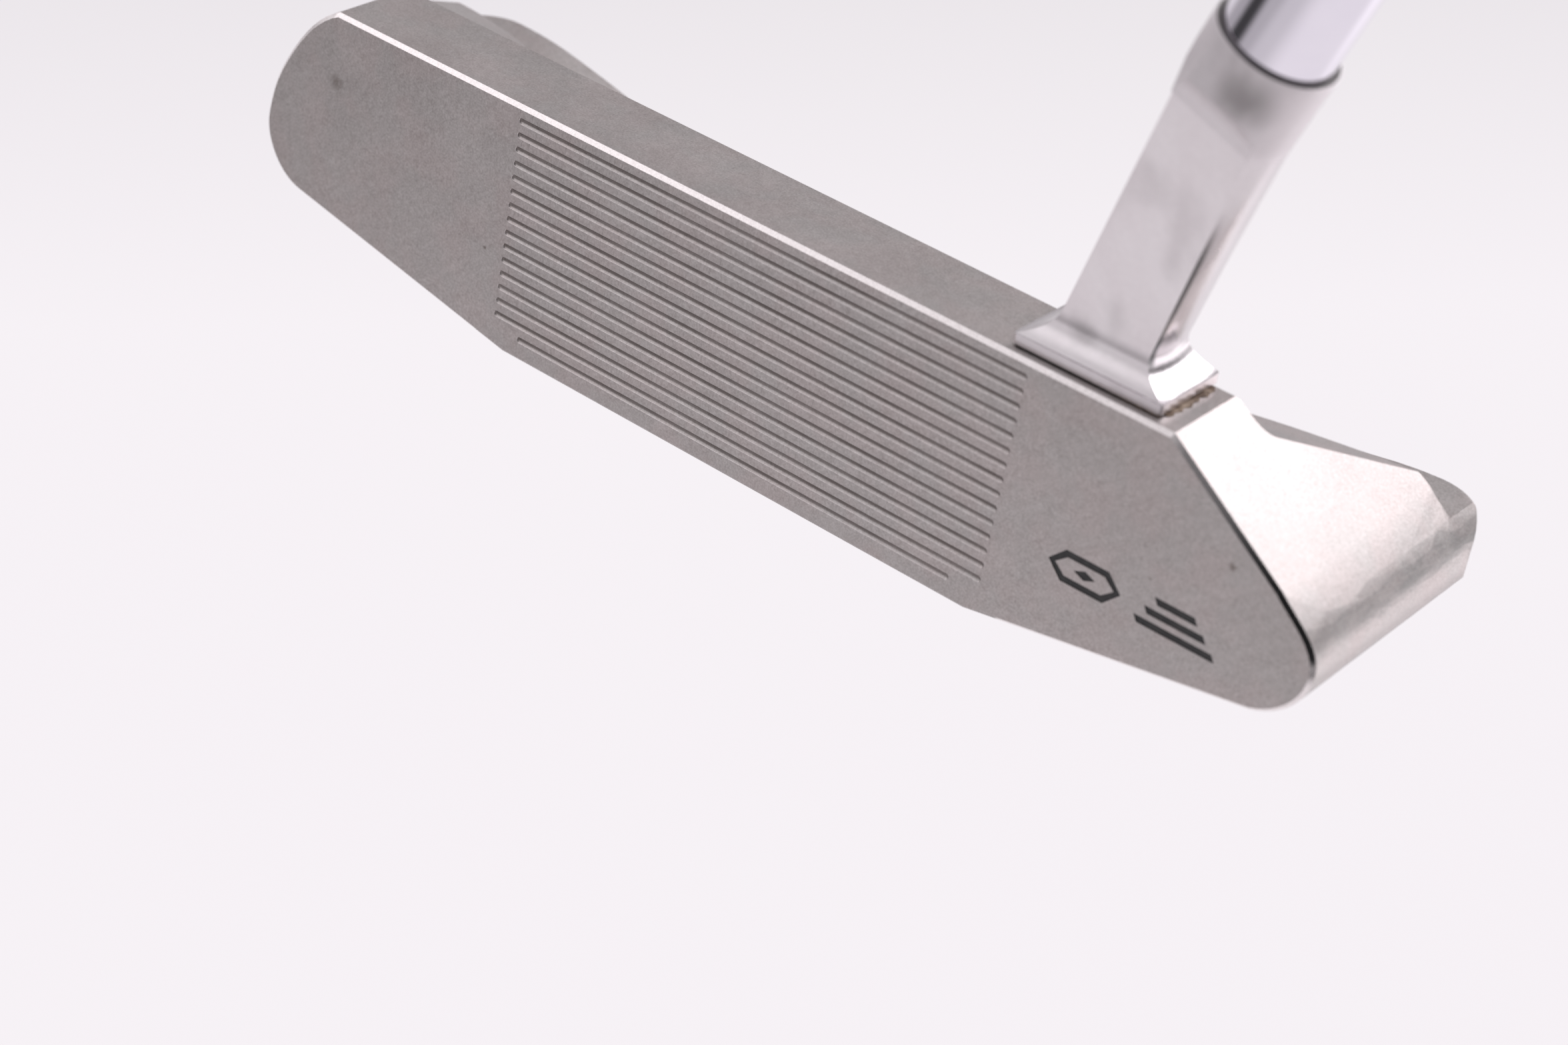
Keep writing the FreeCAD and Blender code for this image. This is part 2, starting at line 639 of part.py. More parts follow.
def flare_sections():
    """Hollow flare: quick inward at first, then upright."""
    low_z = TOP_Z + SEAM + SLAB_T - FLARE_OVERLAP
    sections = []
    for k in range(FLARE_SECTIONS):
        angle = k / (FLARE_SECTIONS - 1.0) * math.pi / 2
        inward = math.sin(angle)
        up = 1 - math.cos(angle)
        z = low_z + (FLARE_TOP_Z - low_z) * up
        over = z - FLARE_TOP_Z

        def blend(foot, shank, power):
            share = 1 - (1 - up) ** power
            return foot * (1 - share) + shank * share

        sections.append(flare_section(
            z,
            blend(FOOT_X0 + FLARE_INSET, SHANK_X0 + over * LEAN_X, 4.2),
            blend(FOOT_X1 - FLARE_INSET, SHANK_X1 + over * LEAN_X, 3.2),
            blend(FOOT_Y0 + FLARE_INSET, SHANK_Y0 + over * LEAN_FRONT, 2.8),
            blend(FOOT_Y1 - FLARE_INSET, SHANK_Y1 + over * LEAN_REAR, 2.8),
            heel_bulge=0.02 + 0.33 * inward, toe_bulge=0.02 + 0.10 * inward))
    return sections


def shank_top_wire():
    """The collar's circle with a flat front and rear and a flatter toe side."""
    half = math.sqrt(COLLAR_R ** 2 - FLAT_V ** 2)
    toe_u, s = -half + TOE_IN, SHANK_TOP_S
    toe_front, heel_front = on_shaft(toe_u, -FLAT_V, s), on_shaft(half, -FLAT_V, s)
    heel_rear, toe_rear = on_shaft(half, FLAT_V, s), on_shaft(toe_u, FLAT_V, s)
    return Part.Wire([line(toe_front, heel_front),
                      arc(heel_front, on_shaft(COLLAR_R, 0, s), heel_rear),
                      line(heel_rear, toe_rear),
                      arc(toe_rear, on_shaft(toe_u - TOE_BULGE, 0, s), toe_front)])


def make_collar():
    collar = shaft_cylinder(COLLAR_R, SHANK_TOP_S, COLLAR_TOP_S - SHANK_TOP_S)
    low_s = SHANK_TOP_S - 0.01
    # the toe side tapers from the full collar to the flatter shank
    toe_u = -math.sqrt(COLLAR_R ** 2 - FLAT_V ** 2) + TOE_IN - TOE_BULGE
    taper = [(toe_u, low_s), (-COLLAR_R - 0.02, -0.6), (-12, -0.6), (-12, low_s)]
    collar = collar.cut(prism([on_shaft(u, -12, s) for u, s in taper], V(0, 24, 0)))
    # front and rear corners of the toe side are dressed back to run into the shank
    for side in (1, -1):
        section = [on_shaft(-DRESS_U * out + DRESS_V * 9, side * (-DRESS_V * out - DRESS_U * 9), s)
                   for out, s in ((DRESS_LOW_R, low_s), (DRESS_HIGH_R, -0.9),
                                  (12.0, -0.9), (12.0, low_s))]
        travel = SHAFT_ACROSS * (-DRESS_V * 18) + REARWARD * (side * DRESS_U * 18)
        collar = collar.cut(prism(section, travel))
    # milled flats run out of the round collar on a cutter's radius
    for side in (-1, 1):
        start = on_shaft(-12, side * (FLAT_V + RUNOUT_R), SHANK_TOP_S)
        collar = collar.cut(cylinder(RUNOUT_R, start, SHAFT_ACROSS, 24))
    return collar


def make_post():
    root_s = -SOCKET_DEPTH - 0.6
    post = shaft_cylinder(POST_R, root_s, POST_UP - root_s)
    tip = [e for e in post.Edges
           if abs((e.CenterOfMass - MOUTH).dot(SHAFT_UP) - POST_UP) < 0.01]
    return post.makeChamfer(0.6, tip[:1])


def make_neck():
    slab = Part.makeBox(FOOT_X1 - FOOT_X0, FOOT_Y1 - FOOT_Y0, SLAB_T,
                        V(FOOT_X0, FOOT_Y0, TOP_Z + SEAM))
    slab = slab.makeFillet(SLAB_CORNER_R, [e for e in slab.Edges if e.BoundBox.ZLength > 0.5])
    sections = flare_sections()
    flare = Part.makeLoft(sections, True, False)
    shank = Part.makeLoft([sections[-1], shank_top_wire()], True, True)
    neck = clean(slab.fuse([flare, shank, make_collar()]))
    # socket for the shaft, and the post it slips over
    neck = neck.cut(shaft_tube(SOCKET_R, POST_R, COLLAR_TOP_S - SOCKET_DEPTH, SOCKET_DEPTH + 1))
    neck = neck.cut(shaft_cylinder(RECESS_R, RECESS_S, 2))
    neck = neck.fuse(make_post())
    # tenon and its screw hole
    neck = neck.fuse(rounded_box(TENON_HALF_X, TENON_HALF_Y, TOP_Z - TENON_LEN,
                                 TENON_LEN + SEAM + 0.5, 1.0))
    hole_base = V(FOOT_X, FOOT_Y, TOP_Z - TENON_LEN - 1)
    neck = clean(neck.cut(cylinder(SCREW_R, hole_base, UP, TENON_LEN + 6)))
    # guards against the kernel refusing the tiny fillet; the lip then stays sharp
    try:
        lip = [e for e in neck.Edges
               if abs((e.CenterOfMass - MOUTH).dot(SHAFT_UP) - COLLAR_TOP_S) < 0.01
               and abs(e.Length - 2 * math.pi * COLLAR_R) < 0.05]
        filleted = neck.makeFillet(0.06, lip)
        if filleted.isValid():
            neck = filleted
    except Exception:
        pass
    return neck


# (x, y) of a thin ragged film that creeps out of the seam at the heel side
FILM = [(38.5, 3.3), (40.42, 3.2), (40.66, 3.75), (40.5, 4.2), (40.78, 4.9), (40.55, 5.4),
        (40.86, 6.1), (40.6, 6.8), (40.74, 7.4), (40.46, 7.9), (40.8, 8.6), (40.6, 9.3),
        (40.7, 9.8), (40.38, 10.3), (38.5, 10.3)]
FILM_T = 0.09
BEAD_INSET = 0.25


def make_seam_bead():
    """Bead under the neck's foot, round the tenon."""
    bead = Part.makeBox(FOOT_X1 - FOOT_X0 - 2 * BEAD_INSET, FOOT_Y1 - FOOT_Y0 - 2 * BEAD_INSET,
                        SEAM, V(FOOT_X0 + BEAD_INSET, FOOT_Y0 + BEAD_INSET, TOP_Z))
    bead = bead.cut(tenon_pocket(TOP_Z - 1, 3))
    film = prism([V(x, y, TOP_Z) for x, y in FILM], V(0, 0, FILM_T))
    bead = bead.fuse(film).removeSplitter()
    # the rear edge of the bead stays on the blade
    return bead.cut(Part.makeBox(40, 5, 3, V(20, TOP_REAR_Y - 0.32, TOP_Z - 1)))


def make_neck_screw():
    head_z = SCREW_SEAT_Z - SCREW_HEAD_H
    head_base = V(FOOT_X, FOOT_Y, head_z)
    stem = cylinder(SCREW_R - 0.03, V(FOOT_X, FOOT_Y, SCREW_SEAT_Z), UP,
                    TOP_Z - SCREW_SEAT_Z + 4.2)
    screw_head = cylinder(SCREW_HEAD_R, head_base, UP, SCREW_HEAD_H)
    rim = [e for e in screw_head.Edges
           if abs(e.CenterOfMass.z - head_z) < 0.01 and e.Length > 10]
    screw = stem.fuse(screw_head.makeChamfer(0.35, rim))
    socket = hex_points(head_base, 1.75, V(1, 0, 0), V(0, 1, 0))
    return clean(screw.cut(prism(socket, V(0, 0, 2.2))))


# ---------------------------------------------------------------- shaft
STEP_S = 165.0             # the first step
STEP_LEN = 38.0
STEP_N = 9
STEP_RAMP = 1.2            # length over which the radius grows at a step
PLUG_GAP = 1.0             # from the post's tip to the damping plug


def make_shaft():
    """Stepped tube: its (s, radius) profile and the same profile a wall further in."""
    outer = [(SHAFT_LOW_S, SHAFT_R), (STEP_S, SHAFT_R)]
    for k in range(1, STEP_N + 1):
        s = STEP_S + STEP_LEN * (k - 1)
        radius = SHAFT_R + (BUTT_R - SHAFT_R) * k / STEP_N
        outer += [(s + STEP_RAMP, radius), (s + STEP_LEN, radius)]
    outer.append((SHAFT_TOP_S, BUTT_R))
    inner = [(s, radius - WALL) for s, radius in outer][::-1]
    points = [on_shaft(radius, 0, s) for s, radius in outer + inner]
    section = Part.Face(Part.makePolygon(points + [points[0]]))
    return section.revolve(MOUTH, SHAFT_UP, 360)


def make_damping_plug():
    plug = shaft_cylinder(SHAFT_R - WALL - 0.02, POST_UP + PLUG_GAP, 12.0)
    return plug.makeFillet(0.8, [e for e in plug.Edges if e.Length > 15])


# ---------------------------------------------------------------- grip
# (s from the lower end, half width across, flat side's reach, belly side's reach)
GRIP_STATIONS = [
    (0.0, 9.4, 8.9, 9.6), (12.0, 10.1, 9.0, 10.3), (60.0, 11.3, 9.3, 11.7),
    (120.0, 12.4, 9.7, 13.0), (175.0, 13.2, 10.1, 14.6), (215.0, 13.7, 10.4, 17.0),
    (245.0, 14.0, 10.6, 18.6), (GRIP_LEN - CAP_T, 14.0, 10.6, 18.4)]
SKIN_T = 1.3
LIP = 3.2                  # the skin is solid down to the tape over this length
SECTION_POINTS = 40


def grip_section(s, half_width, flat, belly, inset):
    """D-shaped section: flat on -u, round belly on +u."""
    half_width, flat, belly = half_width - inset, flat - inset, belly - inset
    points = []
    for k in range(SECTION_POINTS):
        angle = 2 * math.pi * k / SECTION_POINTS
        cosine, sine = math.cos(angle), math.sin(angle)
        if cosine >= 0:
            u = belly * abs(cosine) ** 0.92
            v = half_width * math.copysign(abs(sine) ** 0.95, sine)
        else:
            u = -flat * abs(cosine) ** 0.42
            v = half_width * math.copysign(abs(sine) ** 0.78, sine)
        points.append(on_shaft(u, v, s))
    return Part.Wire(spline(points, True))


def grip_loft(inset):
    sections = [grip_section(GRIP_LOW_S + s, half_width, flat, belly, inset)
                for s, half_width, flat, belly in GRIP_STATIONS]
    return Part.makeLoft(sections, True, False)


def make_grip():
    """The grip's skin and the core inside it."""
    outer, inner = grip_loft(0.0), grip_loft(SKIN_T)
    bore = shaft_cylinder(BUTT_R + TAPE, GRIP_LOW_S - 5, GRIP_LEN + 10)
    lip_zone = shaft_cylinder(40, GRIP_LOW_S - 1, LIP + 1)
    cap_zone = shaft_cylinder(40, GRIP_TOP_S, 20)
    skin = outer.cut(inner).fuse(outer.common(lip_zone)).cut(bore).cut(cap_zone)
    return clean(skin), inner.cut(bore).cut(lip_zone)


def make_end_cap():
    """Domed disc over the grip's top, with a small dimple."""
    top_station = GRIP_STATIONS[-1][1:]
    sections = [grip_section(GRIP_TOP_S + up, *top_station, inset)
                for up, inset in ((0, 0.0), (1.6, 0.15), (CAP_T, 1.7))]
    cap = Part.makeLoft(sections, True, False)
    cap = cap.cut(shaft_cylinder(1.1, CAP_TOP_S - 1.4, 3))
    # hairline relief where the bore ends under the cap
    return cap.cut(shaft_cylinder(BUTT_R + TAPE, GRIP_TOP_S - 5, 5 + 0.0001))


def make_butt_plug():
    """Plug inside the shaft's butt, with a head between the shaft and the cap."""
    plug = shaft_cylinder(BUTT_R - WALL - 0.03, SHAFT_TOP_S - 9.0, 9.0)
    return clean(plug.fuse(shaft_cylinder(BUTT_R - 0.1, SHAFT_TOP_S, GRIP_TOP_S - SHAFT_TOP_S)))


# ---------------------------------------------------------------- write the pieces
grip_skin, grip_core = make_grip()
pieces = {
    "head": make_head(),
    "face_mark_fill": make_mark_fill(),
    "sight_line_fill": sight_line(SIGHT_DEPTH - SIGHT_PAINT_LOW),
    "toe_sole_weight": make_weight(-1),
    "heel_sole_weight": make_weight(1),
    "weight_o_rings": make_o_rings(),
    "neck": make_neck(),
    "neck_joint_residue": make_seam_bead(),
    "neck_screw": make_neck_screw(),
    "shaft": make_shaft(),
    "shaft_bond": shaft_tube(SHAFT_R - WALL, POST_R, SHAFT_LOW_S,
                             POST_UP - SHAFT_LOW_S - PLUG_GAP),
    "shaft_damping_plug": make_damping_plug(),
    "shaft_seal_ring": shaft_tube(RECESS_R - 0.005, SHAFT_R, RECESS_S, 0.30),
    "grip_tape": shaft_tube(BUTT_R + TAPE, BUTT_R, GRIP_LOW_S + 1.0,
                            SHAFT_TOP_S - GRIP_LOW_S - 1.0),
    "grip_core": grip_core,
    "grip_skin": grip_skin,
    "grip_end_cap": make_end_cap(),
    "butt_plug": make_butt_plug(),
}
for name, shape in pieces.items():
    placed = shape.copy()
    placed.translate(V(0, -SOLE_MID_Y, GROW))
    placed.exportStep("parts/%s.step" % name)
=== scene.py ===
"""Golf putter: milled head, polished neck, stepped chrome shaft and rubber grip.

The head lies along x, heel toward +x and toe toward -x. Its face looks toward -y and z is up.
The shaft leaves the neck's mouth and leans toward +x. Scene units are metres; names and
tables marked mm are scaled by MM.
"""
import bpy
import json
import math
from functools import reduce
from mathutils import Matrix, Vector


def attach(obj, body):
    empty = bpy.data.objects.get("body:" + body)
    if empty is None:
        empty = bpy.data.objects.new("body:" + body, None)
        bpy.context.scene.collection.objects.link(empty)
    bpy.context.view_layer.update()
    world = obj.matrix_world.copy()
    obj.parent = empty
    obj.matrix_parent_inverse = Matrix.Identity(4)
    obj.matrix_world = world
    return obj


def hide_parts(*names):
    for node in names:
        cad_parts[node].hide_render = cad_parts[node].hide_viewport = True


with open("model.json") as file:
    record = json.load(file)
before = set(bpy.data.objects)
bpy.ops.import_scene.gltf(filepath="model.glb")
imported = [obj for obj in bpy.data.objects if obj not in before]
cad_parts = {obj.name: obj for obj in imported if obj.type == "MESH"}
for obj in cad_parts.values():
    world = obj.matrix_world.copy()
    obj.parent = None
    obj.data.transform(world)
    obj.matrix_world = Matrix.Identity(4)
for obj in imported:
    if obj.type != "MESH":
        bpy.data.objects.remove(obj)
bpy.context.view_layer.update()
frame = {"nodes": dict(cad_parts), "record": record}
scene = bpy.context.scene

# ------------------------------------------------------------------ dimensions
MM = 0.001

# face plane: set back from y = 0 at the sole and leaning back with height (mm)
LOFT_SLOPE = math.tan(math.radians(3.0))
FACE_NORMAL = (0.0, -0.99863, 0.05234)
FACE_SETBACK = 10.8
SOLE_LIFT = 0.22

# shaft axis: a point on it at the neck's mouth, and the three directions of its frame
LIE = math.radians(70.0)
MOUTH_HEIGHT = 57.2  # mm above the sole
MOUTH = Vector((42.4, 3.0 - FACE_SETBACK, MOUTH_HEIGHT + SOLE_LIFT)) * MM
AXIS = Vector((math.cos(LIE), 0.0, math.sin(LIE)))
ACROSS = Vector((math.sin(LIE), 0.0, -math.cos(LIE)))
REARWARD = Vector((0.0, 1.0, 0.0))

# shaft tube (mm): distances run along the axis from the mouth
CLUB_LENGTH = 863.6
TIP_RADIUS = 4.70
BUTT_RADIUS = 7.35
WALL = 0.56
SHAFT_START = -3.0
SHAFT_END = CLUB_LENGTH - MOUTH_HEIGHT / math.sin(LIE) - 3.6
PLAIN_STATIONS = (SHAFT_START, 2.0, 8.0, 30.0, 80.0, 130.0, 164.6)
FIRST_STEP = 165.0
STEP_PITCH = 38.0
STEP_COUNT = 9
# one rolled step: distance from its start (mm), share of its rise in radius
STEP_PROFILE = [
    (0.0, 0.0), (0.25, 0.16), (0.6, 0.5), (0.95, 0.84), (1.25, 1.0), (1.8, 1.0), (37.5, 1.0),
]
SHAFT_SEGMENTS = 128
SHARP_ANGLE = math.radians(30.0)


def place(across, rearward, along):
    """Scene point from mm in the shaft's frame."""
    return MOUTH + (ACROSS * across + REARWARD * rearward + AXIS * along) * MM


def face_y(height):
    """y of the face plane at a height z, both in mm."""
    return (height - SOLE_LIFT) * LOFT_SLOPE - FACE_SETBACK


# ------------------------------------------------------------------ shader expressions
class Signal:
    """A node's output socket; arithmetic on it adds math nodes to its tree."""

    def __init__(self, socket):
        self.socket = socket

    def add_node(self, kind, **settings):
        node = self.socket.id_data.nodes.new(kind)
        for name, value in settings.items():
            setattr(node, name, value)
        return node

    def combine(self, operation, other):
        calculate = scalar_math if self.socket.type == "VALUE" else vector_math
        return calculate(operation, self, other)

    def __add__(self, other):
        return self.combine("ADD", other)

    def __sub__(self, other):
        return self.combine("SUBTRACT", other)

    def __rsub__(self, number):
        return scalar_math("SUBTRACT", number, self)

    def __mul__(self, other):
        return self.combine("MULTIPLY", other)

    def __abs__(self):
        return scalar_math("ABSOLUTE", self)


def feed(socket, value):
    """Link a signal to an input, or set the input to a constant."""
    if isinstance(value, Signal):
        socket.id_data.links.new(value.socket, socket)
    elif socket.type == "RGBA":
        socket.default_value = (*value, 1.0)
    else:
        socket.default_value = value


def scalar_math(operation, first, second=0.0):
    source = first if isinstance(first, Signal) else second
    node = source.add_node("ShaderNodeMath", operation=operation)
    feed(node.inputs[0], first)
    feed(node.inputs[1], second)
    return Signal(node.outputs[0])


def vector_math(operation, first, second=None):
    node = first.add_node("ShaderNodeVectorMath", operation=operation)
    feed(node.inputs[0], first)
    if second is not None:
        feed(node.inputs[1], second)
    gives_number = operation in ("DOT_PRODUCT", "LENGTH", "DISTANCE")
    return Signal(node.outputs["Value" if gives_number else "Vector"])


def larger(first, second):
    return scalar_math("MAXIMUM", first, second)


def linear(value, source, target, interpolation="LINEAR"):
    """Map the source range (low, high) to the target range, held at both ends."""
    node = value.add_node("ShaderNodeMapRange", interpolation_type=interpolation, clamp=True)
    feed(node.inputs["Value"], value)
    for name, limit in zip(("From Min", "From Max", "To Min", "To Max"), (*source, *target)):
        feed(node.inputs[name], limit)
    return Signal(node.outputs["Result"])


def smooth(value, source, target):
    """Like linear, with eased ends."""
    return linear(value, source, target, "SMOOTHSTEP")


def rise(value, low, high):
    """Mask that is 0 below low and 1 above high."""
    return smooth(value, (low, high), (0.0, 1.0))


def fall(value, low, high):
    """Mask that is 1 below low and 0 above high."""
    return smooth(value, (low, high), (1.0, 0.0))


def mix(share, first, second):
    """Colour that goes from first to second as share goes from 0 to 1."""
    node = share.add_node("ShaderNodeMix", data_type="RGBA", blend_type="MIX")
    feed(node.inputs["Factor"], share)
    # the colour sockets of a node that also has number and vector ones
    feed(node.inputs[6], first)
    feed(node.inputs[7], second)
    return Signal(node.outputs[2])


def crossfade(base, share, value):
    """Level that goes from base to value as share goes from 0 to 1."""
    return base * (1.0 - share) + share * value


def noise(vector, scale, detail=2.0, roughness=0.5):
    node = vector.add_node("ShaderNodeTexNoise", noise_dimensions="3D")
    feed(node.inputs["Vector"], vector)
    feed(node.inputs["Scale"], scale)
    feed(node.inputs["Detail"], detail)
    feed(node.inputs["Roughness"], roughness)
    return Signal(node.outputs["Fac"])


def split(vector):
    """The x, y and z signals of a vector."""
    node = vector.add_node("ShaderNodeSeparateXYZ")
    feed(node.inputs[0], vector)
    return [Signal(output) for output in node.outputs]


def join(x, y, z):
    node = x.add_node("ShaderNodeCombineXYZ")
    for socket, value in zip(node.inputs, (x, y, z)):
        feed(socket, value)
    return Signal(node.outputs[0])


def gray(tone):
    return join(tone, tone, tone)


def bump(height, strength, distance, normal=None):
    node = height.add_node("ShaderNodeBump")
    feed(node.inputs["Strength"], strength)
    feed(node.inputs["Distance"], distance)
    feed(node.inputs["Height"], height)
    if normal is not None:
        feed(node.inputs["Normal"], normal)
    return Signal(node.outputs["Normal"])


def spot(point, centre, radius, softness):
    """Mask of a round spot; softness is the share of its radius that fades."""
    distance = vector_math("DISTANCE", point, centre)
    return fall(distance, radius * (1 - softness), radius)


# ------------------------------------------------------------------ materials
MATERIALS = {}
# range that holds most of a noise's values
MID = (0.3, 0.7)


def empty_material(name):
    """New material and its cleared node tree."""
    material = bpy.data.materials.new(name)
    material.use_nodes = True
    material.node_tree.nodes.clear()
    return material, material.node_tree


def geometry(nodes, output="Position"):
    return Signal(nodes.new("ShaderNodeNewGeometry").outputs[output])


def new_material(name):
    """Register a material; return its Principled node and the shaded point."""
    MATERIALS[name], tree = empty_material(name)
    output = tree.nodes.new("ShaderNodeOutputMaterial")
    shader = tree.nodes.new("ShaderNodeBsdfPrincipled")
    tree.links.new(shader.outputs[0], output.inputs["Surface"])
    return shader, geometry(tree.nodes)


def set_surface(shader, color, roughness, normal, metallic=0.0, specular=0.5, coat=0.0):
    feed(shader.inputs["Base Color"], color)
    feed(shader.inputs["Metallic"], metallic)
    feed(shader.inputs["Roughness"], roughness)
    feed(shader.inputs["Normal"], normal)
    feed(shader.inputs["Specular IOR Level"], specular)
    feed(shader.inputs["Coat Weight"], coat)


# dark specks on the face: x, z, radius (mm), strength
SPECKS = [
    (50.2, 16.25, 0.55, 0.75),
    (-51.0, 17.6, 1.15, 0.55),
    (-30.3, 9.36, 0.22, 0.75),
    (43.55, 11.54, 0.25, 0.45),
]


def milled_steel():
    """Head: satin steel with face grooves, painted shade in them and painted highlights on the
    broken edges. Masks are in metres.
    """
    speck_color = (0.16, 0.13, 0.11)
    # colour of the painted shade in the grooves
    groove_shade_color = (0.128, 0.108, 0.100)
    # colour of the painted highlight on the broken edges
    edge_highlight_color = (0.80, 0.755, 0.75)
    # colour of the painted dark reflection down the heel's broken edge
    heel_edge_reflection_color = (0.055, 0.055, 0.056)
    heel_band_color = (0.20, 0.21, 0.205)

    shader, point = new_material("milled_steel")
    normal = geometry(shader.id_data.nodes, "True Normal")
    x, y, z = split(point)
    facing = vector_math("DOT_PRODUCT", normal, FACE_NORMAL)
    on_face = rise(facing, 0.93, 0.985)

    # cloudy tone and a faint drift of hue
    cloud = noise(point, scale=130.0, detail=4.0, roughness=0.55)
    fine = noise(point, scale=1900.0, detail=3.0, roughness=0.6)
    grain = noise(point, scale=5200.0, detail=2.0, roughness=0.6)
    hue = noise(point + (0.31, 0.07, 0.2), scale=260.0)
    tone = linear(cloud, MID, (-0.016, 0.016)) + linear(fine, MID, (-0.032, 0.032))
    tone = tone + linear(grain, MID, (-0.065, 0.065))
    base = mix(rise(hue, 0.35, 0.65), (0.478, 0.434, 0.424), (0.462, 0.434, 0.424))
    color = base + gray(tone)

    # slanting wipe marks: noise stretched along a turned x, z frame
    slanted = join(x * 0.80 + z * 0.60, y, z * 0.80 - x * 0.60)
    wipe = noise(slanted * (130.0, 1.0, 1500.0) + (3.0, 1.0, 7.0), scale=1.0)
    color = color + gray(on_face * linear(wipe, (0.35, 0.7), (-0.012, 0.014)))

    # specks with ragged outlines
    specks = []
    for speck_x, speck_z, radius, strength in SPECKS:
        centre = (speck_x * MM, face_y(speck_z) * MM, speck_z * MM)
        ragged = point + join(fine - 0.5, 0.0, cloud - 0.5) * (0.0012, 0.0, 0.0012)
        specks.append(spot(ragged, centre, radius * MM, softness=0.9) * strength)
    color = mix(reduce(larger, specks) * on_face, color, speck_color)

    # groove walls and floors: depth behind the face plane in mm, then limits in z and x
    face_offset = (FACE_SETBACK + SOLE_LIFT * LOFT_SLOPE) * MM
    depth = (y - (z * LOFT_SLOPE - face_offset)) * 1000.0
    normal_x, _, normal_z = split(normal)
    inside = rise(depth, 0.012, 0.03) * (rise(facing, 0.2, 0.35) * fall(depth, 0.25, 0.3))
    inside = inside * (fall(z, 0.0233, 0.0236) * fall(abs(x), 0.0302, 0.0308))

    # painted shade under the upper lip of every groove and at its toe end
    lip_shade_noise = noise(point * (110.0, 1.0, 420.0) + (1.0, 0.0, 5.0), scale=1.0)
    lip_shade = smooth(normal_z, (0.02, 0.70), (0.88, 0.0)) * smooth(lip_shade_noise, MID, (0.72, 1.0))
    groove_shade = larger(inside * lip_shade, inside * smooth(x, (-0.0287, -0.0280), (0.93, 0.0)))
    color = mix(groove_shade, color, groove_shade_color)

    # broken edges: painted highlight in a brighter colour, and a smoother finish than the satin
    # faces
    edge = rise(facing, 0.30, 0.50) * fall(facing, 0.88, 0.95) * (1.0 - inside)
    color = mix(edge, color, gray(tone) + edge_highlight_color)

    # painted dark reflection along the broken edge down the heel
    heel_edge_reflection = edge * (rise(normal_x, 0.18, 0.32) * rise(x, 0.040, 0.044))
    heel_edge_reflection = heel_edge_reflection * (smooth(z, (0.0160, 0.0225), (0.97, 0.80)) * rise(z, 0.0102, 0.0120))
    color = mix(heel_edge_reflection, color, heel_edge_reflection_color)

    # darker mottled band round the heel end, picked by surface direction
    blotches = point * (1.0, 0.30, 1.6) + (0.4, 0.1, 0.0)
    blot = noise(blotches, scale=640.0, detail=5.0, roughness=0.72)
    heel_turn = rise(normal_x, 0.62, 0.74) * fall(normal_x, 0.86, 0.97)
    heel_end = heel_turn * (rise(x, 0.050, 0.054) * fall(facing, 0.1, 0.3))
    color = mix(heel_end * smooth(blot, (0.36, 0.66), (0.22, 0.60)), color, heel_band_color)

    # fine blasting everywhere, cutter ticks across the lands between the grooves
    tick = noise(point * (2600.0, 1.0, 330.0), scale=1.0, roughness=0.65)
    land = on_face * (rise(x, -0.0290, -0.0283) * fall(x, 0.0280, 0.0290))
    land = land * rise(z, 0.0018, 0.0028)
    blasted = bump(fine * 0.5 + grain * 0.35, strength=0.55, distance=0.000012)
    ticked = bump(land * rise(tick, 0.50, 0.72), strength=0.9, distance=0.000030, normal=blasted)
    roughness = linear(cloud, MID, (0.40, 0.47)) + linear(fine, MID, (-0.02, 0.03))
    set_surface(shader, color, roughness - edge * 0.17, ticked, metallic=1.0)


# front heel ridge of the neck's shank: its foot and its direction
RIDGE_FOOT = Vector((37.55, -6.75, 29.22)) * MM
RIDGE_DIRECTION = (Vector((43.90, -11.05, 49.53)) * MM - RIDGE_FOOT).normalized()
# painted dark reflections beside the ridge: distance up it, offset from it, radius (metres),
# strength
RIDGE_DARK_REFLECTIONS = [
    (0.0120, (-0.0019, 0.0, 0.0), 0.0023, 0.20),
    (0.0095, (-0.0021, 0.0, 0.0), 0.0024, 0.22),
    (0.0, (-0.0040, 0.0, 0.0012), 0.0024, 0.22),
    (0.0, (-0.0075, 0.0004, -0.0016), 0.0020, 0.45),
]
# all painted dark reflections on the neck, as spots: centre, radius, strength; the first is at the
# mouth
NECK_DARK_REFLECTIONS = [(place(2.0, -4.9, -1.9), 0.0036, 0.80)]
NECK_DARK_REFLECTIONS += [
    (RIDGE_FOOT + RIDGE_DIRECTION * distance + Vector(offset), radius, strength)
    for distance, offset, radius, strength in RIDGE_DARK_REFLECTIONS
]


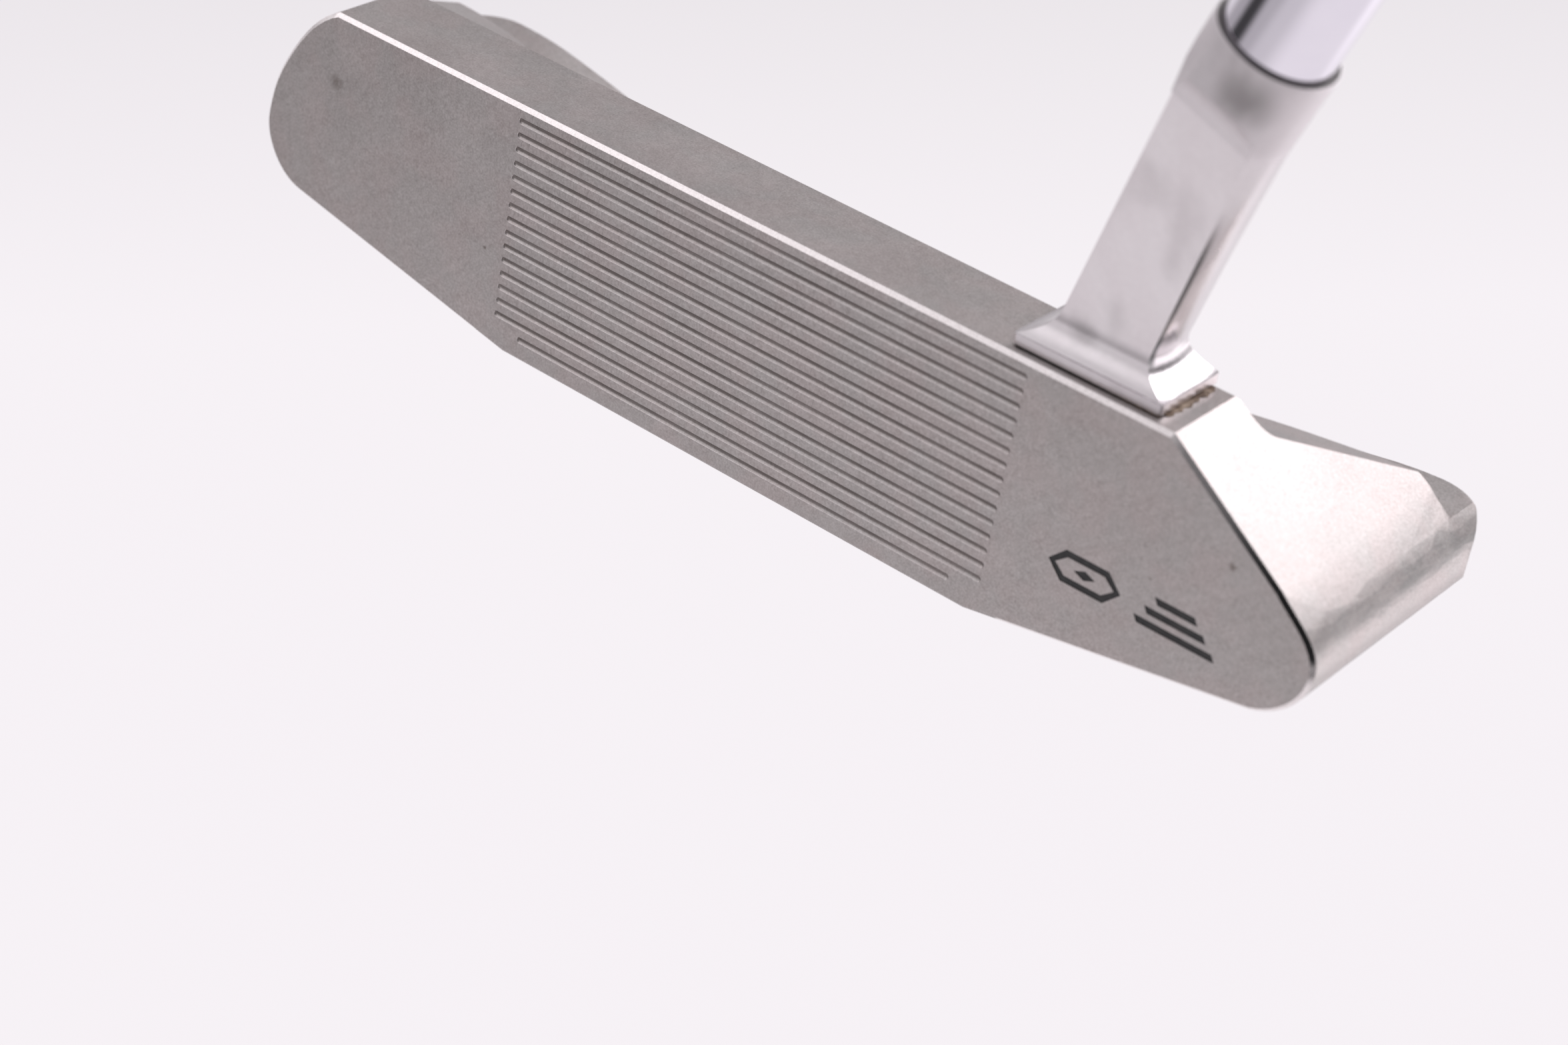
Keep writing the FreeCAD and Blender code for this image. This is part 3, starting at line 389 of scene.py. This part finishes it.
def polished_steel():
    """Neck: polished steel with smudges, painted dark reflections and a satin collar at the mouth.
    """
    smudge_color = (0.38, 0.36, 0.365)
    # colour of the painted dark reflections in spots
    dark_reflection_color = (0.26, 0.245, 0.245)
    # colour of the painted dark reflection along the ridge
    ridge_reflection_color = (0.075, 0.080, 0.078)

    shader, point = new_material("polished_steel")
    normal = geometry(shader.id_data.nodes, "True Normal")
    cloud = noise(point * (1.0, 1.0, 0.6), scale=210.0, detail=3.0)
    fine = noise(point, scale=1500.0, detail=3.0, roughness=0.6)
    smear = noise(point * (1.0, 1.0, 0.7) + (0.05, 0.2, 0.11), scale=150.0)
    tone = linear(cloud, (0.35, 0.7), (-0.012, 0.012)) + linear(fine, MID, (-0.012, 0.012))
    base = mix(rise(cloud, *MID), (0.680, 0.640, 0.655), (0.695, 0.662, 0.675))
    color = base + gray(tone)
    smudge = rise(smear, 0.54, 0.72)
    color = mix(smudge * 0.22, color, smudge_color)

    # painted dark reflections: soft spots with warped outlines
    warped = point + join((smear - 0.5) * 0.006, 0.0, (cloud - 0.5) * 0.005)
    for centre, radius, strength in NECK_DARK_REFLECTIONS:
        color = mix(spot(warped, centre, radius, softness=0.97) * strength, color, dark_reflection_color)

    # painted dark reflection along the ridge, by distance up it and away from it
    from_foot = point - RIDGE_FOOT
    along = vector_math("DOT_PRODUCT", from_foot, RIDGE_DIRECTION)
    away = vector_math("LENGTH", vector_math("CROSS_PRODUCT", from_foot, RIDGE_DIRECTION))
    normal_x = split(normal)[0]
    ridge = fall(away, 0.00028, 0.00080) * rise(normal_x, 0.30, 0.6)
    ridge = ridge * (fall(along, 0.0095, 0.0165) * rise(along, -0.0035, -0.0015))
    color = mix(ridge * 0.86, color, ridge_reflection_color)

    # the collar next to the mouth is duller
    collar = rise(vector_math("DOT_PRODUCT", point - MOUTH, AXIS), -0.0075, -0.0055)
    roughness = linear(cloud, MID, (0.20, 0.25)) + smudge * 0.06 + collar * 0.30
    relief = bump(fine * 0.4 + cloud * 0.8, strength=0.3, distance=0.00001)
    set_surface(shader, color, roughness, relief, metallic=1.0)


def shaft_chrome():
    """Shaft: hazy chrome."""
    shader, point = new_material("shaft_chrome")
    haze = noise(point, scale=160.0, detail=3.0)
    fine = noise(point, scale=2400.0)
    color = mix(rise(haze, *MID), (0.785, 0.755, 0.825), (0.815, 0.785, 0.85))
    roughness = linear(haze, (0.35, 0.7), (0.045, 0.075)) + linear(fine, (0.4, 0.7), (0.0, 0.02))
    relief = bump(fine, strength=0.06, distance=0.00001)
    set_surface(shader, color, roughness, relief, metallic=1.0)


def weight_steel():
    """Two steel plugs, mirrored in x, with turned rings about their own upright axes."""
    plug_x, plug_y = 0.0410, 0.0037
    shader, point = new_material("weight_steel")
    x, y, _ = split(point)
    from_x = abs(x) - plug_x
    from_y = y - plug_y
    radius = scalar_math("SQRT", from_x * from_x + from_y * from_y)
    rings = noise(join(radius * 7000.0, 0.0, 0.0), scale=1.0, detail=3.0, roughness=0.6)
    fine = noise(point, scale=1800.0, detail=3.0, roughness=0.6)
    color = mix(rise(rings, 0.35, 0.65), (0.46, 0.455, 0.45), (0.54, 0.535, 0.53))
    relief = bump(rings + fine * 0.3, strength=0.45, distance=0.000012)
    set_surface(shader, color, linear(fine, MID, (0.26, 0.34)), relief, metallic=1.0)


def brown_residue():
    """Residue: nearly black, turning brown toward the heel."""
    shader, point = new_material("brown_residue")
    x = split(point)[0]
    mottle = noise(point, scale=900.0, detail=4.0, roughness=0.6)
    patch = noise(point, scale=420.0, detail=3.0, roughness=0.6)
    heel = rise(x + (patch - 0.5) * 0.004, 0.0345, 0.0385)
    dark = mix(rise(mottle, 0.35, 0.65), (0.055, 0.050, 0.047), (0.11, 0.10, 0.095))
    brown = mix(rise(mottle, 0.38, 0.62), (0.105, 0.060, 0.032), (0.40, 0.31, 0.235))
    relief = bump(mottle + patch, strength=0.5, distance=0.00006)
    set_surface(shader, mix(heel, dark, brown), linear(mottle, MID, (0.45, 0.7)), relief)


def black_paint():
    """Black paint with pale specks."""
    shader, point = new_material("black_paint")
    mottle = noise(point, scale=1500.0, detail=4.0, roughness=0.6)
    fleck = noise(point, scale=5000.0, detail=3.0, roughness=0.6)
    color = mix(rise(mottle, 0.35, 0.7), (0.012, 0.012, 0.013), (0.035, 0.034, 0.034))
    color = mix(rise(fleck, 0.66, 0.74) * 0.5, color, (0.16, 0.155, 0.15))
    relief = bump(mottle + fleck * 0.6, strength=0.5, distance=0.00003)
    set_surface(shader, color, linear(mottle, MID, (0.42, 0.6)), relief)


def mottled(name, dark, light, roughness, scale, strength, distance=0.00003,
            metallic=0.0, coat=0.0, speck=None):
    """Two-tone mottled material; strength and distance shape its bump, speck is a colour."""
    shader, point = new_material(name)
    coarse = noise(point, scale=scale, detail=4.0, roughness=0.6)
    fine = noise(point, scale=scale * 5.0, detail=3.0, roughness=0.6)
    color = mix(rise(coarse, *MID), dark, light)
    if speck is not None:
        color = mix(rise(fine, 0.62, 0.70) * 0.7, color, speck)
    varied = linear(coarse, MID, (roughness - 0.06, roughness + 0.06))
    varied = varied + linear(fine, MID, (-0.02, 0.02))
    relief = bump(coarse * 0.5 + fine, strength, distance)
    set_surface(shader, color, varied, relief, metallic=metallic, coat=coat)


def grip_skin():
    """Grip: matt black rubber with dusty patches."""
    shader, point = new_material("grip_skin")
    dust = noise(point, scale=700.0, detail=3.0, roughness=0.6)
    cloud = noise(point, scale=90.0, detail=3.0, roughness=0.55)
    fine = noise(point, scale=3500.0, detail=2.0, roughness=0.6)
    color = mix(rise(cloud, 0.35, 0.65), (0.020, 0.020, 0.022), (0.030, 0.030, 0.032))
    color = mix(rise(dust, 0.55, 0.75) * 0.35, color, (0.055, 0.055, 0.058))
    relief = bump(dust * 1.0 + fine * 0.4, strength=0.5, distance=0.00008)
    roughness = linear(cloud, (0.35, 0.65), (0.58, 0.68)) + linear(fine, (0.4, 0.6), (-0.03, 0.03))
    set_surface(shader, color, roughness, relief, specular=0.4)


milled_steel()
polished_steel()
shaft_chrome()
weight_steel()
brown_residue()
black_paint()
mottled("white_paint", (0.80, 0.80, 0.78), (0.86, 0.86, 0.84), roughness=0.38,
        scale=1500.0, strength=0.4, speck=(0.55, 0.54, 0.52))
mottled("black_oxide_steel", (0.045, 0.045, 0.05), (0.075, 0.075, 0.08), roughness=0.36,
        scale=1200.0, strength=0.3, distance=0.00001, metallic=1.0)
mottled("black_rubber", (0.016, 0.016, 0.017), (0.026, 0.026, 0.027), roughness=0.5,
        scale=1600.0, strength=0.3)
mottled("cap_rubber", (0.022, 0.022, 0.023), (0.034, 0.034, 0.036), roughness=0.56,
        scale=900.0, strength=0.5, distance=0.00005)
mottled("dark_sealant", (0.060, 0.056, 0.055), (0.120, 0.112, 0.108), roughness=0.5,
        scale=1800.0, strength=0.5)
mottled("epoxy", (0.58, 0.44, 0.22), (0.66, 0.53, 0.30), roughness=0.25,
        scale=500.0, strength=0.2, coat=0.4)
mottled("foam", (0.48, 0.45, 0.38), (0.60, 0.57, 0.49), roughness=0.85,
        scale=2200.0, strength=0.9, distance=0.0001, speck=(0.30, 0.28, 0.23))
mottled("foam_core", (0.085, 0.085, 0.09), (0.13, 0.13, 0.135), roughness=0.88,
        scale=2000.0, strength=0.9, distance=0.0001, speck=(0.03, 0.03, 0.03))
mottled("grip_tape", (0.72, 0.67, 0.50), (0.80, 0.76, 0.62), roughness=0.7,
        scale=1300.0, strength=0.7, distance=0.00006)
grip_skin()


# ------------------------------------------------------------------ CAD pieces
def dress(obj, material):
    """Give the whole object one material and smooth shading."""
    obj.data.materials.clear()
    obj.data.materials.append(material)
    for polygon in obj.data.polygons:
        polygon.material_index = 0
        polygon.use_smooth = True


def tidy_shading(obj):
    """Weld the facets, split the true edges and weight the normals by area."""
    weld = obj.modifiers.new("weld", "WELD")
    weld.merge_threshold = 2e-7
    edges = obj.modifiers.new("split", "EDGE_SPLIT")
    edges.split_angle = math.radians(24)
    edges.use_edge_sharp = False
    weighted = obj.modifiers.new("weighted", "WEIGHTED_NORMAL")
    weighted.weight = 100
    weighted.mode = "FACE_AREA"
    weighted.keep_sharp = True


slot_of = {part["node"]: part["material_slot"] for part in frame["record"]["subparts"]}
for node_name, piece in frame["nodes"].items():
    dress(piece, MATERIALS[slot_of[node_name]])
    tidy_shading(piece)


# ------------------------------------------------------------------ shaft
def mesh_object(name, verts, faces):
    mesh = bpy.data.meshes.new(name)
    mesh.from_pydata(verts, [], faces)
    obj = bpy.data.objects.new(name, mesh)
    scene.collection.objects.link(obj)
    return obj


def lathe(name, profile):
    """Turn a closed outline of (distance along, radius) in mm about the shaft's axis."""
    count = SHAFT_SEGMENTS
    turns = [2 * math.pi * k / count for k in range(count)]
    verts = [place(radius * math.cos(turn), radius * math.sin(turn), along)
             for along, radius in profile for turn in turns]
    faces = []
    for i in range(len(profile)):
        ring = i * count
        next_ring = (i + 1) % len(profile) * count
        for k in range(count):
            next_k = (k + 1) % count
            faces.append((ring + k, ring + next_k, next_ring + next_k, next_ring + k))
    return mesh_object(name, verts, faces)


def shaft():
    """Chromed tube that widens in rolled steps from the neck to the grip."""
    outside = [(station, TIP_RADIUS) for station in PLAIN_STATIONS]
    rise_per_step = (BUTT_RADIUS - TIP_RADIUS) / STEP_COUNT
    for k in range(STEP_COUNT):
        start = FIRST_STEP + STEP_PITCH * k
        outside += [(start + along, TIP_RADIUS + rise_per_step * (k + share))
                    for along, share in STEP_PROFILE]
    outside.append((SHAFT_END, BUTT_RADIUS))
    bore = [(along, radius - WALL) for along, radius in reversed(outside)]

    tube = lathe("shaft_tube", outside + bore)
    dress(tube, MATERIALS["shaft_chrome"])
    tube.data.set_sharp_from_angle(angle=SHARP_ANGLE)
    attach(tube, "root")
    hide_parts("shaft")


shaft()

# ------------------------------------------------------------------ world: soft studio
# screens, lamps and black cards: direction, inner and outer angle (degrees), level
CARDS = [
    ((-0.49, 0.70, 0.52), 14, 40, 0.57),
    ((-0.49, 0.86, 0.08), 10, 24, 0.52),
    ((0.50, -0.66, 0.56), 10, 30, 0.10),
    ((0.56, -0.70, 0.25), 10, 26, 0.08),
    ((0.76, -0.58, 0.0), 8, 24, 0.05),
    ((0.72, 0.69, 0.02), 6, 16, 1.5),
    ((0.28, 0.69, 0.67), 15, 25, 4.8),
    ((0.60, 0.69, 0.39), 8, 18, 0.20),
    ((-0.72, -0.41, 0.56), 11, 31, 1.36),
]
BACKDROP_LEVEL = 0.80  # what the camera sees instead of the cards


def camera_ray(signal):
    """1 for rays straight from the camera, else 0."""
    return Signal(signal.add_node("ShaderNodeLightPath").outputs["Is Camera Ray"])


def studio():
    world = bpy.data.worlds.new("studio")
    scene.world = world
    world.use_nodes = True
    nodes = world.node_tree.nodes
    nodes.clear()
    output = nodes.new("ShaderNodeOutputWorld")
    background = nodes.new("ShaderNodeBackground")
    world.node_tree.links.new(background.outputs[0], output.inputs[0])

    generated = Signal(nodes.new("ShaderNodeTexCoord").outputs["Generated"])
    direction = vector_math("NORMALIZE", generated)
    level = smooth(split(direction)[2], (-0.25, 0.55), (0.92, 0.74))
    for toward, inner, outer, card_level in CARDS:
        closeness = vector_math("DOT_PRODUCT", direction, Vector(toward).normalized())
        card = rise(closeness, math.cos(math.radians(outer)), math.cos(math.radians(inner)))
        level = crossfade(level, card * 1.0, card_level)
    level = crossfade(level, camera_ray(level), BACKDROP_LEVEL)
    feed(background.inputs[0], join(level * 1.0, level * 0.970, level * 1.0))
    feed(background.inputs[1], 1.0)


studio()

# ------------------------------------------------------------------ floor
FLOOR_Z = -0.34
FLOOR_HALF = 14.0
FLOOR_CELLS = 8
FLOOR_TINT = ((0.995, 0.948, 0.990), (1.005, 0.964, 0.995))
FLOOR_LEVEL = 0.885
# round patches of light and shade: x, y, inner and outer radius, level
FLOOR_PATCHES = [
    (0.50, 0.62, 0.12, 0.40, 1.9),
    (1.6, 1.7, 1.0, 1.5, 1.7),
    (6.5, 6.5, 5.0, 7.0, 1.6),
    (-2.4, 4.2, 2.0, 3.2, 0.52),
    (0.10, -0.80, 0.0, 0.52, 0.60),
    (0.12, 0.36, 0.05, 0.15, 1.15),
    (0.83, -0.57, 0.25, 0.58, 0.04),
]
WEDGE_X, WEDGE_Y = 0.04, -0.01  # where the dark wedge's sides would meet


def pale_floor():
    """Glowing sheet; its patches and wedge show only in reflections."""
    material, tree = empty_material("pale_floor")
    output = tree.nodes.new("ShaderNodeOutputMaterial")
    point = geometry(tree.nodes)
    color = mix(noise(point, scale=3.0), *FLOOR_TINT)
    x, y, _ = split(point)

    # brighter toward +x and +y, dimmer far off toward -x and +y
    glow = linear(y * 0.9 + x * 0.60, (-1.10, -0.42), (0.47, FLOOR_LEVEL))
    far = linear(x * -0.81 + y * 0.58, (0.60, 0.92), (1.0, 0.865))
    glow = glow * far
    for patch_x, patch_y, inner, outer, level in FLOOR_PATCHES:
        distance = vector_math("DISTANCE", point, (patch_x, patch_y, FLOOR_Z))
        glow = crossfade(glow, fall(distance, inner, outer), level)

    # dark wedge toward -x and -y
    angle = scalar_math("ARCTAN2", WEDGE_Y - y, WEDGE_X - x)
    distance = vector_math("DISTANCE", point, (WEDGE_X, WEDGE_Y, FLOOR_Z))
    wedge = rise(angle, math.radians(10), math.radians(21))
    wedge = wedge * fall(angle, math.radians(35), math.radians(48))
    wedge = wedge * rise(distance, 0.85, 1.05)
    glow = glow * (1.0 - wedge * 0.96)
    glow = crossfade(glow, camera_ray(glow), far * FLOOR_LEVEL)

    emission = tree.nodes.new("ShaderNodeEmission")
    feed(emission.inputs["Color"], color)
    feed(emission.inputs["Strength"], glow)
    diffuse = tree.nodes.new("ShaderNodeBsdfDiffuse")
    feed(diffuse.inputs["Color"], (0.04, 0.04, 0.04))
    total = tree.nodes.new("ShaderNodeAddShader")
    tree.links.new(emission.outputs[0], total.inputs[0])
    tree.links.new(diffuse.outputs[0], total.inputs[1])
    tree.links.new(total.outputs[0], output.inputs[0])
    return material


def floor():
    ticks = [-FLOOR_HALF + 2 * FLOOR_HALF * i / FLOOR_CELLS for i in range(FLOOR_CELLS + 1)]
    verts = [(x, y, FLOOR_Z) for y in ticks for x in ticks]
    row = len(ticks)
    corners = [j * row + i for j in range(FLOOR_CELLS) for i in range(FLOOR_CELLS)]
    faces = [(first, first + 1, first + row + 1, first + row) for first in corners]
    sheet = mesh_object("floor", verts, faces)
    sheet.data.materials.append(pale_floor())


floor()

# ------------------------------------------------------------------ camera
CAMERA_PLACE = Vector((0.140314, -0.202296, 0.148402))
CAMERA_RIGHT = Vector((0.76551031, 0.63048687, 0.12837553))
CAMERA_DOWN = Vector((0.4295029, -0.35216565, -0.83156877))
CAMERA_FORWARD = Vector((-0.47908373, 0.69171213, -0.54038238))
FOCUS_PLACE = Vector((-14.0, -10.2, 12.0)) * MM


def camera():
    lens = bpy.data.cameras.new("camera")
    lens.sensor_width = 36.0
    lens.sensor_fit = "HORIZONTAL"
    lens.lens = 72.33
    lens.clip_start = 0.01
    lens.clip_end = 60.0
    body = bpy.data.objects.new("camera", lens)
    scene.collection.objects.link(body)
    turn = Matrix((CAMERA_RIGHT, -CAMERA_DOWN, -CAMERA_FORWARD)).transposed()
    body.matrix_world = Matrix.Translation(CAMERA_PLACE) @ turn.to_4x4()
    scene.camera = body

    focus = bpy.data.objects.new("focus", None)
    focus.location = FOCUS_PLACE
    scene.collection.objects.link(focus)
    lens.dof.use_dof = True
    lens.dof.focus_object = focus
    lens.dof.aperture_fstop = 25.0


camera()
scene.view_settings.view_transform = "Standard"
scene.view_settings.look = "None"
scene.view_settings.exposure = 0.0
scene.view_settings.gamma = 1.0
